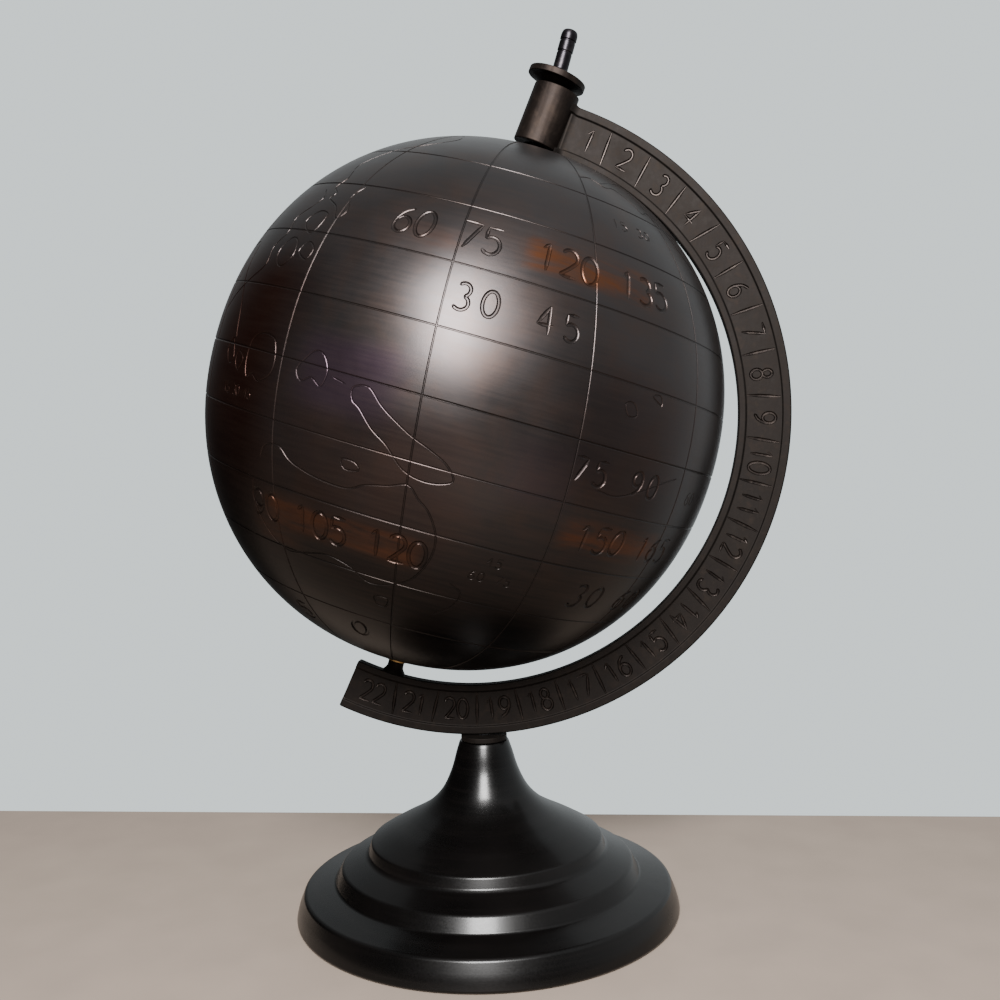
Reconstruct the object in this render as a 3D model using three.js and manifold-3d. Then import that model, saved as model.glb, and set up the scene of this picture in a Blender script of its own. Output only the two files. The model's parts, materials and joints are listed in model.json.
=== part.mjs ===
// A desktop globe on a stand: a hollow engraved metal ball that spins on a tilted axis inside a flat
// meridian arc, on a stepped, hollow cast foot. Millimetres, +Z up. The origin is the centre of the
// foot's underside, on the foot's own axis. The arc lies in the XZ plane, on the +X side of the ball.
import * as THREE from 'three';
import Module from 'manifold-3d';
import { mergeVertices } from 'three/addons/utils/BufferGeometryUtils.js';

// ---- Driving dimensions --------------------------------------------------------------------------

const GAP = 0.3; // between pieces that touch
const BIG_ROUND = 48; // facets round the ball and the foot

// The ball. Its outline is a superellipse, a little fuller than a sphere at middle latitudes.
const BALL_R = 100;
const BALL_POLAR_RATIO = 1.027; // half the height over half the width
const BALL_FULLNESS = 2.1; // exponent of the superellipse
const BALL_WALL = 1.6;
const BALL_CENTRE = new THREE.Vector3(-3.3, 0, 200.6);
const AXIS_TILT = THREE.MathUtils.degToRad(17.3); // of the spin axis, towards +X at the top
const POLE_HOLE_R = 5.3;
const POLE = BALL_R * BALL_POLAR_RATIO; // height of a pole over the ball's centre

// The meridian arc, a flat bar bent to a circle, with a raised border round a sunk band.
const ARC_CENTRE = new THREE.Vector3(-4.4, 0, 197.6);
const ARC_INNER_R = 107.6;
const ARC_OUTER_R = 127.65;
const ARC_THICK = 5.4;
const ARC_START = THREE.MathUtils.degToRad(68.1); // at the collar, anticlockwise from +X
const ARC_END = THREE.MathUtils.degToRad(-115.1);
const BAND_INNER_R = 110.4;
const BAND_OUTER_R = 124.3;
const BAND_SUNK = 0.7;

// The collar at the arc's upper end leans a little more than the spin axis.
const COLLAR_R = 9.2;
const COLLAR_BORE_R = 4.7;
const COLLAR_LENGTH = 23;
const COLLAR_MID = 117.2; // distance of its middle from the ball's centre, along the axis
const COLLAR_LEAN = THREE.MathUtils.degToRad(6);

// The cap that closes the collar, and the pin that drops through both into the ball.
const CAP_R = 11.5;
const CAP_RIM = 2.2;
const CAP_HOLE_R = 3.2;
const CAP_SHIFT = -1.6; // of the cap's centre, across the collar, to meet the pin
const PIN_R = 2.3;
const PIN_FOOT = 96; // the pin's lower end, from the ball's centre
const PIN_SHOULDER = 137.2; // the underside of the pin's head, a little above the cap
const PIN_TOP = 152.4;
const PIN_LIFT_BORE_R = PIN_R + 0.4;

// The foot: three stepped tiers and a trumpet neck.
const FOOT_R = 76.5;
const NECK_R = 9.95;
const NECK_TOP = 67.5;
const FOOT_FLOOR = 0.4; // the rim stays just above the table, on its felt
const BOARD_R = 70.4; // closes the hollow foot, under a ledge in the casting
const FELT_R = 70;
const FELT_THICK = 1.6;
const BOARD_TOP = 4;
const ROD_R = 2.5;
const ROD_BORE_R = 3;
const LEDGE_Z = 40; // underside of the solid neck, where the tie rod's nut pulls

// ---- Helpers -------------------------------------------------------------------------------------

const wasm = await Module();
wasm.setup();

// One closed body from any three.js geometry, with its faces turned outward.
function closed(geometry) {
  const bare = geometry.clone();
  bare.deleteAttribute('normal');
  bare.deleteAttribute('uv');
  const merged = mergeVertices(bare, 1e-4);
  const corner = merged.getAttribute('position');
  const index = Array.from(merged.getIndex().array);
  const kept = [];
  let volume = 0;
  const [a, b, c] = [new THREE.Vector3(), new THREE.Vector3(), new THREE.Vector3()];
  for (let i = 0; i < index.length; i += 3) {
    const [p, q, r] = index.slice(i, i + 3);
    if (p === q || q === r || r === p) continue;
    kept.push(p, q, r);
    a.fromBufferAttribute(corner, p);
    b.fromBufferAttribute(corner, q);
    c.fromBufferAttribute(corner, r);
    volume += a.dot(b.cross(c));
  }
  if (volume < 0) kept.reverse();
  merged.setIndex(kept);
  return merged;
}

function toSolid(geometry) {
  const body = closed(geometry);
  return new wasm.Manifold(new wasm.Mesh({
    numProp: 3,
    vertProperties: new Float32Array(body.getAttribute('position').array),
    triVerts: new Uint32Array(body.getIndex().array),
  }));
}

function fromSolid(solid) {
  const mesh = solid.getMesh();
  const geometry = new THREE.BufferGeometry();
  geometry.setAttribute('position', new THREE.BufferAttribute(mesh.vertProperties, 3));
  geometry.setIndex(new THREE.BufferAttribute(mesh.triVerts, 1));
  return geometry;
}

// A body turned about Z from an outline of [radius, height] points that starts and ends on the axis,
// or, as a ring, closes on itself.
function turned(outline, segments = 32) {
  const points = outline.map(([r, z]) => new THREE.Vector2(r, z));
  const onAxis = outline[0][0] === 0 && outline.at(-1)[0] === 0;
  if (!onAxis) points.push(points[0].clone());
  return closed(new THREE.LatheGeometry(points, segments).rotateX(Math.PI / 2));
}

// A washer or bush: a plain ring between two heights.
function ring(innerR, outerR, low, high, segments = 32) {
  return turned([[innerR, low], [outerR, low], [outerR, high], [innerR, high]], segments);
}

function disc(radius, low, high) {
  return turned([[0, low], [radius, low], [radius, high], [0, high]], BIG_ROUND);
}

function finish(color, roughness, metalness) {
  return new THREE.MeshStandardMaterial({ color, roughness, metalness });
}

function piece(parent, name, geometry, material) {
  const mesh = new THREE.Mesh(geometry, material);
  mesh.name = name;
  parent.add(mesh);
  return mesh;
}

// Height and radius of the ball's outline at a latitude, for a ball of equatorial radius size.
function ballPoint(latitude, size) {
  const across = Math.cos(latitude);
  const up = Math.sin(latitude);
  const reach = size / (
    Math.abs(across) ** BALL_FULLNESS + Math.abs(up / BALL_POLAR_RATIO) ** BALL_FULLNESS
  ) ** (1 / BALL_FULLNESS);
  return [reach * across, reach * up];
}

// ---- The ball ------------------------------------------------------------------------------------

// The wall of the northern half, from the equator to the hole at the pole.
function hemisphere() {
  const rings = 11;
  const seam = 0.5 * GAP;
  const wallArc = (size) => {
    const start = Math.asin(seam / size);
    const end = Math.acos(POLE_HOLE_R / (size * BALL_POLAR_RATIO));
    return Array.from({ length: rings + 1 }, (_, i) => (
      ballPoint(start + (end - start) * (i / rings), size)
    ));
  };
  return turned([...wallArc(BALL_R), ...wallArc(BALL_R - BALL_WALL).reverse()], BIG_ROUND);
}

// A band inside the equator that the two halves are pressed on to.
function joiningBand() {
  const outer = BALL_R - BALL_WALL - 2 * GAP;
  return ring(outer - 1.5, outer, -6, 6, BIG_ROUND);
}

// A flanged bush in a pole hole, open towards the pin, along +Z.
function poleBush(rise, boreR) {
  const seat = POLE + GAP;
  return turned([
    [boreR, POLE - 8.5],
    [POLE_HOLE_R - GAP, POLE - 8.5],
    [POLE_HOLE_R - GAP, seat],
    [6, seat],
    [6, seat + rise * 0.6],
    [5.4, seat + rise],
    [boreR, seat + rise],
  ]);
}

// ---- The arc and what it carries -------------------------------------------------------------------

// The bar's cross-section, as [radius, offset across the bar], swept about the arc's centre.
function meridianArc() {
  const half = ARC_THICK / 2;
  const sunk = half - BAND_SUNK;
  const section = [
    [ARC_INNER_R, -half], [BAND_INNER_R, -half], [BAND_INNER_R, -sunk], [BAND_OUTER_R, -sunk],
    [BAND_OUTER_R, -half], [ARC_OUTER_R, -half], [ARC_OUTER_R, half], [BAND_OUTER_R, half],
    [BAND_OUTER_R, sunk], [BAND_INNER_R, sunk], [BAND_INNER_R, half], [ARC_INNER_R, half],
  ];
  const steps = 44;
  const corners = section.length;
  const position = [];
  const index = [];
  for (let i = 0; i <= steps; i += 1) {
    const angle = ARC_START + (ARC_END - ARC_START) * (i / steps);
    for (const [r, y] of section) position.push(r * Math.cos(angle), y, r * Math.sin(angle));
  }
  for (let i = 0; i < steps; i += 1) {
    for (let j = 0; j < corners; j += 1) {
      const [near, next] = [i * corners + j, i * corners + (j + 1) % corners];
      index.push(near, next, near + corners, next, next + corners, near + corners);
    }
  }
  const outline = section.map(([r, y]) => new THREE.Vector2(r, y));
  for (const [a, b, c] of THREE.ShapeUtils.triangulateShape(outline, [])) {
    index.push(c, b, a);
    index.push(steps * corners + a, steps * corners + b, steps * corners + c);
  }
  const geometry = new THREE.BufferGeometry();
  geometry.setAttribute('position', new THREE.Float32BufferAttribute(position, 3));
  geometry.setIndex(index);
  return closed(geometry);
}

function topCollar() {
  const half = COLLAR_LENGTH / 2;
  return turned([
    [COLLAR_BORE_R, -half], [COLLAR_R - 0.4, -half], [COLLAR_R, -half + 0.4],
    [COLLAR_R, half - 0.4], [COLLAR_R - 0.4, half], [COLLAR_BORE_R, half],
  ]);
}

// A flanged cap with a cone below its rim and a low cone above it, standing on z = 0.
function collarCap() {
  const coneHeight = 2.2;
  const rimTop = coneHeight + CAP_RIM;
  return turned([
    [CAP_HOLE_R, 0], [5.4, 0], [CAP_R, coneHeight], [CAP_R - 0.2, rimTop],
    [5, rimTop + 1], [CAP_HOLE_R, rimTop + 1],
  ]);
}

// The removable pivot pin, with its turned head above the cap.
function pivotPin() {
  return turned([
    [0, PIN_FOOT],
    [PIN_R - 0.8, PIN_FOOT],
    [PIN_R, PIN_FOOT + 0.8],
    [PIN_R, PIN_SHOULDER],
    [3.45, PIN_SHOULDER],
    [3.2, PIN_SHOULDER + 1.4],
    [2.8, PIN_SHOULDER + 5.6],
    [3, PIN_SHOULDER + 6.1],
    [2.9, PIN_SHOULDER + 9.4],
    [2.65, PIN_SHOULDER + 9.6],
    [2.65, PIN_SHOULDER + 10.1],
    [3.2, PIN_SHOULDER + 10.5],
    [3.25, PIN_TOP - 1.7],
    [2.5, PIN_TOP - 0.4],
    [1.6, PIN_TOP],
    [0, PIN_TOP],
  ], 24);
}

// The fixed lower pivot: a boss with a flared root on the arc, and a journal that enters the ball.
// Along -Z from the ball's centre, so it is made upside down and turned over.
function southPivotPin() {
  const root = POLE + 7.6;
  return turned([
    [0, POLE - 8],
    [1.6, POLE - 8],
    [2, POLE - 7.6],
    [2, POLE + 2.9],
    [3.2, POLE + 2.9],
    [3.2, root - 1.6],
    [3.7, root - 0.5],
    [4.6, root],
    [0, root],
  ], 32);
}

// ---- The foot --------------------------------------------------------------------------------------

// Outer outline of the casting, from its rim up to the neck.
function footOutline() {
  const tiers = [
    [FOOT_R - 0.6, FOOT_FLOOR], [FOOT_R, FOOT_FLOOR + 0.8], [FOOT_R - 0.9, 5], [73.2, 10.6],
    [72.4, 11.1], [61.3, 13.9], [60.8, 14.4], [60.5, 15], [58.2, 19.2], [57.6, 19.7],
    [48.9, 23.6], [48.4, 24.1], [48, 24.7], [45.9, 28.6], [45.2, 29.2],
  ];
  const trumpet = new THREE.SplineCurve([
    [45.2, 29.2], [37.5, 33.6], [30, 37.5], [23, 41.9], [17.3, 47.9], [13.5, 55.6], [11.2, 63.2],
    [NECK_R, NECK_TOP - 0.3],
  ].map(([r, z]) => new THREE.Vector2(r, z)));
  return [...tiers, ...trumpet.getPoints(13).slice(1).map((p) => [p.x, p.y])];
}

// The casting is hollow below, with a solid neck bored for the tie rod.
function footCasting() {
  const hollow = [
    [ROD_BORE_R, LEDGE_Z], [13, LEDGE_Z], [30, 33.6], [42, 27.2], [43.5, 22], [54.5, 17],
    [56.5, 11.6], [67, 9], [67.5, BOARD_TOP + GAP], [BOARD_R + 0.4, BOARD_TOP + GAP],
    [BOARD_R + 0.6, FOOT_FLOOR],
  ];
  return turned([
    ...footOutline(), [NECK_R - 0.3, NECK_TOP], [ROD_BORE_R, NECK_TOP], ...hollow,
  ], BIG_ROUND);
}

// A hexagonal nut on Z with a round bore.
function hexNut(acrossFlats, boreR, low, high) {
  const cornerR = acrossFlats / Math.sqrt(3);
  const prism = new THREE.CylinderGeometry(cornerR, cornerR, high - low, 6).rotateX(Math.PI / 2);
  const bore = new THREE.CylinderGeometry(boreR, boreR, high - low + 2, 32).rotateX(Math.PI / 2);
  return fromSolid(toSolid(prism).subtract(toSolid(bore))).translate(0, 0, (low + high) / 2);
}

// A split spring washer: a ring with a narrow slot through one side.
function springWasher(innerR, outerR, low, high) {
  const slot = new THREE.BoxGeometry(outerR, 0.8, high - low + 2);
  slot.rotateZ(0.2).translate(outerR / 2 + 1.5, 0, (low + high) / 2);
  return fromSolid(toSolid(ring(innerR, outerR, low, high)).subtract(toSolid(slot)));
}

// ---- Assembly --------------------------------------------------------------------------------------

const antiqueCopper = finish(0x3a2a24, 0.35, 1);
const bronze = finish(0x4a3a30, 0.4, 1);
const arcBronze = finish(0x33261f, 0.45, 1);
const blackMetal = finish(0x1c1a1c, 0.4, 1);
const footMetal = finish(0x151314, 0.35, 1);
const brass = finish(0x9a7b3e, 0.35, 1);
const steel = finish(0x8f9296, 0.35, 1);
const hardboard = finish(0x5a4330, 0.8, 0);
const felt = finish(0x1d241f, 0.95, 0);

const globe = new THREE.Group();

// Everything on the spin axis: local +Z runs from the ball's centre to its north pole.
const axis = new THREE.Group();
axis.position.copy(BALL_CENTRE);
axis.rotation.y = AXIS_TILT;
globe.add(axis);

const southward = new THREE.Group();
southward.rotation.x = Math.PI;
axis.add(southward);

piece(axis, 'north_hemisphere', hemisphere(), antiqueCopper);
piece(southward, 'south_hemisphere', hemisphere(), antiqueCopper);
piece(axis, 'equator_joining_band', joiningBand(), steel);
piece(axis, 'north_pole_bush', poleBush(1.7, PIN_LIFT_BORE_R), bronze);
piece(southward, 'south_pole_bush', poleBush(0.9, 2.4), brass);
piece(southward, 'south_thrust_washer', ring(2.4, 4.6, POLE + 1.5, POLE + 2.6), brass);
piece(southward, 'south_pivot_pin', southPivotPin(), arcBronze);
piece(axis, 'pivot_pin', pivotPin(), blackMetal);

const collar = new THREE.Group();
collar.position.z = COLLAR_MID;
collar.rotation.y = COLLAR_LEAN;
axis.add(collar);
piece(collar, 'top_collar', topCollar(), bronze);
const cap = piece(collar, 'collar_cap', collarCap(), bronze);
cap.position.set(CAP_SHIFT, 0, COLLAR_LENGTH / 2 + GAP);

const arc = piece(globe, 'meridian_arc', meridianArc(), arcBronze);
arc.position.copy(ARC_CENTRE);

// The foot and the parts that clamp the arc's seat on its neck, from the top down.
const SEAT_LOW = NECK_TOP + GAP;
const ARC_LOWEST = ARC_CENTRE.z - ARC_OUTER_R;
piece(globe, 'arc_seat_disc', ring(ROD_R + GAP, 9.2, SEAT_LOW, ARC_LOWEST - GAP), arcBronze);
piece(globe, 'foot_casting', footCasting(), footMetal);
piece(globe, 'tie_washer', ring(2.9, 9, LEDGE_Z - 1.8, LEDGE_Z - GAP), steel);
piece(globe, 'spring_washer', springWasher(2.9, 4.6, LEDGE_Z - 3.5, LEDGE_Z - 2.1), steel);
piece(globe, 'tie_nut', hexNut(8, ROD_R + GAP, LEDGE_Z - 7.8, LEDGE_Z - 3.8), steel);
piece(globe, 'tie_rod', turned([
  [0, LEDGE_Z - 12], [2, LEDGE_Z - 12], [ROD_R, LEDGE_Z - 11.5],
  [ROD_R, ARC_LOWEST - GAP], [0, ARC_LOWEST - GAP],
], 32), steel);
piece(globe, 'base_board', disc(BOARD_R, FELT_THICK + GAP, BOARD_TOP), hardboard);
piece(globe, 'felt_pad', disc(FELT_R, 0, FELT_THICK), felt);

export default globe;
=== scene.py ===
import json
import math
import random

import bpy
import numpy as np
from mathutils import Matrix, Vector


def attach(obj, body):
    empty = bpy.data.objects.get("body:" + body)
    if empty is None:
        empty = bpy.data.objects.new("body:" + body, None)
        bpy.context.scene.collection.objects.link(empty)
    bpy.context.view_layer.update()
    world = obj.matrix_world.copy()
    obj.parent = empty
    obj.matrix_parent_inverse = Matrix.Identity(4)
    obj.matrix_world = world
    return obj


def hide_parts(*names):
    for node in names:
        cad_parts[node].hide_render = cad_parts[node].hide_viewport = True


# A desktop globe on a stand: an engraved antique-copper ball on a tilted axis, a flat engraved
# meridian arc with a collar, cap and lift-out pin, and a stepped foot. Shapes are written in
# millimetres and made in metres. +Z is up and the origin is under the middle of the foot.

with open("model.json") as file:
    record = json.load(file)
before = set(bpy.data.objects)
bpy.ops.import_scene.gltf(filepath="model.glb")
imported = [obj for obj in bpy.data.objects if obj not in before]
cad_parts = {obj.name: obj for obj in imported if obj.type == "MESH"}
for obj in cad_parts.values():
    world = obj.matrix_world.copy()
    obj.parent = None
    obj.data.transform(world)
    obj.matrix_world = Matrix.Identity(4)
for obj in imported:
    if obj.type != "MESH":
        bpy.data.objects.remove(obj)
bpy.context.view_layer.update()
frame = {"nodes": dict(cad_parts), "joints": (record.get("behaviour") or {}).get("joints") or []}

MM = 0.001
UP = Vector((0, 0, 1))


# ---- Places and sizes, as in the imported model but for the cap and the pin's head --------------------------------------------------

spin = next(j for j in frame["joints"] if j["name"] == "globe_spin")
BALL_CENTRE = Vector(spin["pos_m"]) / MM
AXIS_TILT = math.atan2(spin["axis"][0], spin["axis"][2])

# The ball's outline is a superellipse, a little fuller than a sphere at middle latitudes.
BALL_R = 100
BALL_POLAR_RATIO = 1.027  # half the height over half the width
BALL_FULLNESS = 2.1  # exponent of the superellipse
BALL_WALL = 1.6
POLE = BALL_R * BALL_POLAR_RATIO  # height of a pole over the ball's centre
POLE_HOLE_R = 5.3
SEAM = 0.02  # each half of the ball stops this far from the equator

# The arc is a flat bar bent to a circle, with raised borders round a sunk band on both faces.
ARC_CENTRE = Vector((-4.4, 0, 197.6))
ARC_INNER_R = 107.6
ARC_OUTER_R = 127.65
ARC_MIDDLE_R = 0.5 * (ARC_INNER_R + ARC_OUTER_R)
ARC_HALF = 2.7  # half its thickness
ARC_START = 68.0  # degrees anticlockwise from +X, at the collar
ARC_END = -115.1
BAND_INNER_R = 110.4
BAND_OUTER_R = 124.3
BAND_FLOOR = 2.0  # from the bar's middle plane to the band

COLLAR_R = 9.2
COLLAR_BORE_R = 4.7
COLLAR_HALF = 11.5  # half its length
COLLAR_MID = 117.2  # from the ball's centre to its middle, along the axis
COLLAR_LEAN = math.radians(6)  # from the spin axis
CAP_R = 11.5
CAP_HOLE_R = 3.2
CAP_SHIFT = -1.8  # of the cap's centre, across the collar
CAP_LIFT = 0.9  # of the cap's hub above the collar
PIN_R = 2.3
PIN_FOOT = 96  # the pin's ends and shoulder are measured from the ball's centre
PIN_SHOULDER = 135.8
PIN_TOP = 152.4

FOOT_FLOOR = 0.4  # the rim stays just above the table, on its felt
NECK_R = 9.95
NECK_TOP = 67.5
ROD_BORE_R = 3


def place(vector):
    return Matrix.Translation(vector)


AXIS_FRAME = place(BALL_CENTRE) @ Matrix.Rotation(AXIS_TILT, 4, "Y")
SOUTH_FRAME = AXIS_FRAME @ Matrix.Rotation(math.pi, 4, "X")
COLLAR_FRAME = AXIS_FRAME @ place((0, 0, COLLAR_MID)) @ Matrix.Rotation(COLLAR_LEAN, 4, "Y")
CAP_FRAME = COLLAR_FRAME @ place((CAP_SHIFT, 0, COLLAR_HALF + CAP_LIFT))
UPRIGHT = Matrix.Identity(4)


# ---- Camera -----------------------------------------------------------------------------------

CAMERA_SPOT = Vector((54.4, -436.1, 181.24))
CAMERA_TURN, CAMERA_PITCH, CAMERA_ROLL = 5.927, 2.2815, -1.5985  # degrees
CAMERA_LENS, CAMERA_SENSOR = 39.6, 36  # millimetres


def make_camera():
    turn, pitch, roll = (math.radians(a) for a in (CAMERA_TURN, CAMERA_PITCH, CAMERA_ROLL))
    back = Vector((math.sin(turn), -math.cos(turn), 0))
    forward = -back * math.cos(pitch) - UP * math.sin(pitch)
    level = Vector((math.cos(turn), math.sin(turn), 0))
    upward = level.cross(forward)
    right = level * math.cos(roll) + upward * math.sin(roll)
    top = -level * math.sin(roll) + upward * math.cos(roll)
    data = bpy.data.cameras.new("camera")
    data.sensor_width = CAMERA_SENSOR
    data.lens = CAMERA_LENS
    data.clip_start = 0.01
    camera = bpy.data.objects.new("camera", data)
    camera.matrix_world = place(CAMERA_SPOT * MM) @ Matrix(
        (right, top, -forward)).transposed().to_4x4()
    bpy.context.scene.collection.objects.link(camera)
    bpy.context.scene.camera = camera


# ---- Materials --------------------------------------------------------------------------------

class Paint:
    """A procedural material: a few short names for the shader nodes that the finishes use."""

    def __init__(self, name, metallic=1.0, turn=None):
        self.material = bpy.data.materials.new(name)
        self.material.use_nodes = True
        self.tree = self.material.node_tree
        self.shader = self.tree.nodes["Principled BSDF"]
        self.shader.inputs["Metallic"].default_value = metallic
        self.where = self.tree.nodes.new("ShaderNodeTexCoord").outputs["Object"]
        if turn is not None:
            node = self.tree.nodes.new("ShaderNodeMapping")
            node.vector_type = "TEXTURE"
            node.inputs["Location"].default_value = turn.translation * MM
            node.inputs["Rotation"].default_value = turn.to_euler()
            self.put(node.inputs["Vector"], self.where)
            self.where = node.outputs["Vector"]

    def put(self, socket, value):
        if isinstance(value, bpy.types.NodeSocket):
            self.tree.links.new(value, socket)
        else:
            socket.default_value = value

    def stretched(self, scale):
        node = self.tree.nodes.new("ShaderNodeMapping")
        node.inputs["Scale"].default_value = scale
        self.put(node.inputs["Vector"], self.where)
        return node.outputs["Vector"]

    def noise(self, size, detail=4.0, rough=0.55, stretch=None, warp=0.0):
        """Noise whose features are about size millimetres across, from 0 to 1."""
        node = self.tree.nodes.new("ShaderNodeTexNoise")
        node.inputs["Scale"].default_value = 1 / (size * MM)
        node.inputs["Detail"].default_value = detail
        node.inputs["Roughness"].default_value = rough
        node.inputs["Distortion"].default_value = warp
        self.put(node.inputs["Vector"], self.stretched(stretch) if stretch else self.where)
        return node.outputs["Fac"]

    def span(self, value, low, high, to_low=0.0, to_high=1.0):
        """The value moved from one range to another, and held inside it."""
        node = self.tree.nodes.new("ShaderNodeMapRange")
        self.put(node.inputs["Value"], value)
        for key, number in (("From Min", low), ("From Max", high),
                            ("To Min", to_low), ("To Max", to_high)):
            node.inputs[key].default_value = number
        return node.outputs["Result"]

    def math(self, operation, first, second):
        node = self.tree.nodes.new("ShaderNodeMath")
        node.operation = operation
        self.put(node.inputs[0], first)
        self.put(node.inputs[1], second)
        return node.outputs[0]

    def mix(self, share, first, second, blend="MIX"):
        node = self.tree.nodes.new("ShaderNodeMix")
        node.data_type = "RGBA"
        node.blend_type = blend
        self.put(node.inputs[0], share)
        for socket, colour in ((node.inputs[6], first), (node.inputs[7], second)):
            self.put(socket, colour if isinstance(colour, bpy.types.NodeSocket)
                     else (*colour, 1))
        return node.outputs[2]

    def painted(self, name):
        """A mask that is kept on the mesh's vertices."""
        node = self.tree.nodes.new("ShaderNodeAttribute")
        node.attribute_name = name
        return node.outputs["Fac"]

    def bump(self, height, distance, under=None):
        """Relief from a height of 0 to 1 that stands for distance millimetres."""
        node = self.tree.nodes.new("ShaderNodeBump")
        node.inputs["Distance"].default_value = distance * MM
        self.put(node.inputs["Height"], height)
        if under is not None:
            self.put(node.inputs["Normal"], under)
        return node.outputs["Normal"]

    def finish(self, colour, roughness, normal=None):
        self.put(self.shader.inputs["Base Color"], colour)
        self.put(self.shader.inputs["Roughness"], roughness)
        if normal is not None:
            self.put(self.shader.inputs["Normal"], normal)
        return self.material


COPPER_DARK, COPPER_PALE = (0.027, 0.0243, 0.0245), (0.040, 0.0345, 0.0345)
COPPER_BLOTCH = (0.050, 0.030, 0.023)
COPPER_BRUSHED = (0.055, 0.037, 0.030)
COPPER_GROOVE = (0.006, 0.0045, 0.004)
# The colours of the masks that PATCHES lays on the ball. Two of them also paint shade.
# Red-brown patina, also darkened as painted shade on the ball's left side.
COPPER_RED_AND_SHADE = (0.024, 0.0080, 0.0052)
COPPER_VIOLET = (0.042, 0.028, 0.038)
# Painted shade, laid by the dark mask over the ball's lower half.
COPPER_PAINTED_SHADE = (0.0060, 0.0050, 0.0046)
COPPER_GLOW = (0.096, 0.033, 0.012)


def ball_copper(name, patina=0.0):
    """Dark patinated copper, rubbed through in places, with painted shade that darkens its lower half
    and its left side. Grooves hold more of the dark patina.
    """
    p = Paint(name, metallic=0.9, turn=AXIS_FRAME)
    cloud = p.noise(60, 3, 0.5)
    blotch = p.noise(18, 4, 0.6, warp=0.6)
    streak = p.noise(9, 4, 0.65, stretch=(0.3, 0.3, 1.6), warp=0.5)
    brushed = p.noise(1.1, 2, 0.5, stretch=(0.06, 0.06, 1))
    colour = p.mix(p.span(cloud, 0.35, 0.65), COPPER_DARK, COPPER_PALE)
    colour = p.mix(p.span(blotch, 0.45, 0.75, 0, 0.45), colour, COPPER_BLOTCH)
    # The red mask gives red-brown patina and, on the ball's left side, painted shade.
    colour = p.mix(p.painted("red"), colour, COPPER_RED_AND_SHADE)
    colour = p.mix(p.painted("violet"), colour, COPPER_VIOLET)
    # The dark mask paints shade over the ball's lower half.
    colour = p.mix(p.painted("dark"), colour, COPPER_PAINTED_SHADE)
    glow = p.math("MULTIPLY", p.painted("glow"), p.span(streak, 0.36, 0.62, 0.1, 1))
    colour = p.mix(glow, colour, COPPER_GLOW)
    colour = p.mix(p.span(brushed, 0.3, 0.8, 0, 0.2), colour, COPPER_BRUSHED)
    if patina:
        colour = p.mix(patina, colour, COPPER_GROOVE)
    rough = p.span(p.noise(35, 4, 0.6), 0.3, 0.7, 0.31, 0.38)
    rough = p.math("ADD", rough, p.span(brushed, 0.3, 0.7, -0.012, 0.012))
    normal = p.bump(p.noise(45, 1, 0.4), 0.9)
    normal = p.bump(brushed, 0.0015, normal)
    normal = p.bump(p.noise(3.5, 3, 0.6), 0.012, normal)
    return p.finish(colour, rough, normal)


def worn_bronze(name, dark, mid, bright, shine, turn=None, wear=0.5, flats=0.02):
    """Drawn metal in three tones. Shine is its least roughness, wear how much of the bright tone
    shows, and flats the depth of its drawn facets in millimetres."""
    p = Paint(name, metallic=0.9, turn=turn)
    blotch = p.noise(14, 5, 0.6, warp=0.4)
    grime = p.noise(3.2, 4, 0.65)
    lines = p.noise(0.9, 2, 0.5, stretch=(0.08, 0.08, 1) if turn else (1, 1, 0.12))
    drawn = p.noise(6, 2, 0.5, stretch=(1, 1, 0.12))
    colour = p.mix(p.span(blotch, 0.3, 0.7), dark, mid)
    rubbed = p.math("MULTIPLY", p.span(grime, 0.5, 0.75), wear)
    colour = p.mix(rubbed, colour, bright)
    colour = p.mix(p.span(drawn, 0.4, 0.6, 0, 0.35), colour, dark)
    colour = p.mix(p.span(lines, 0.35, 0.75, 0, 0.3), colour, mid)
    rough = p.span(blotch, 0.3, 0.7, shine, shine + 0.1)
    rough = p.math("ADD", rough, p.span(grime, 0.3, 0.7, -0.03, 0.04))
    normal = p.bump(blotch, 0.12)
    normal = p.bump(drawn, flats, normal)
    normal = p.bump(lines, 0.008, normal)
    normal = p.bump(grime, 0.02, normal)
    return p.finish(colour, rough, normal)


def foot_black():
    """Thin glossy black lacquer on a turned casting."""
    p = Paint("foot_black", metallic=0.0)
    p.shader.inputs["Specular IOR Level"].default_value = 0.18
    p.shader.inputs["Coat Weight"].default_value = 0.15
    p.shader.inputs["Coat Roughness"].default_value = 0.16
    cloud = p.noise(40, 3, 0.5)
    ring = p.noise(1.6, 3, 0.6, stretch=(0.03, 0.03, 1))
    speck = p.noise(0.7, 2, 0.5)
    colour = p.mix(p.span(cloud, 0.3, 0.7), (0.0008, 0.0007, 0.0007), (0.0020, 0.0016, 0.0015))
    colour = p.mix(p.span(ring, 0.5, 0.8, 0, 0.35), colour, (0.0045, 0.0036, 0.0034))
    rough = p.span(cloud, 0.3, 0.7, 0.26, 0.34)
    rough = p.math("ADD", rough, p.span(speck, 0.3, 0.7, -0.02, 0.03))
    normal = p.bump(p.noise(22, 2, 0.5), 0.15)
    normal = p.bump(ring, 0.01, normal)
    normal = p.bump(speck, 0.006, normal)
    return p.finish(colour, rough, normal)


def plain_metal(name, colour, bright, shine):
    """Turned metal with faint stains. Shine is its least roughness."""
    p = Paint(name)
    lines = p.noise(0.8, 3, 0.6, stretch=(0.1, 0.1, 1))
    stain = p.noise(6, 4, 0.6)
    mixed = p.mix(p.span(stain, 0.35, 0.7), colour, bright)
    rough = p.span(lines, 0.3, 0.7, shine, shine + 0.12)
    return p.finish(mixed, rough, p.bump(lines, 0.01))


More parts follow.
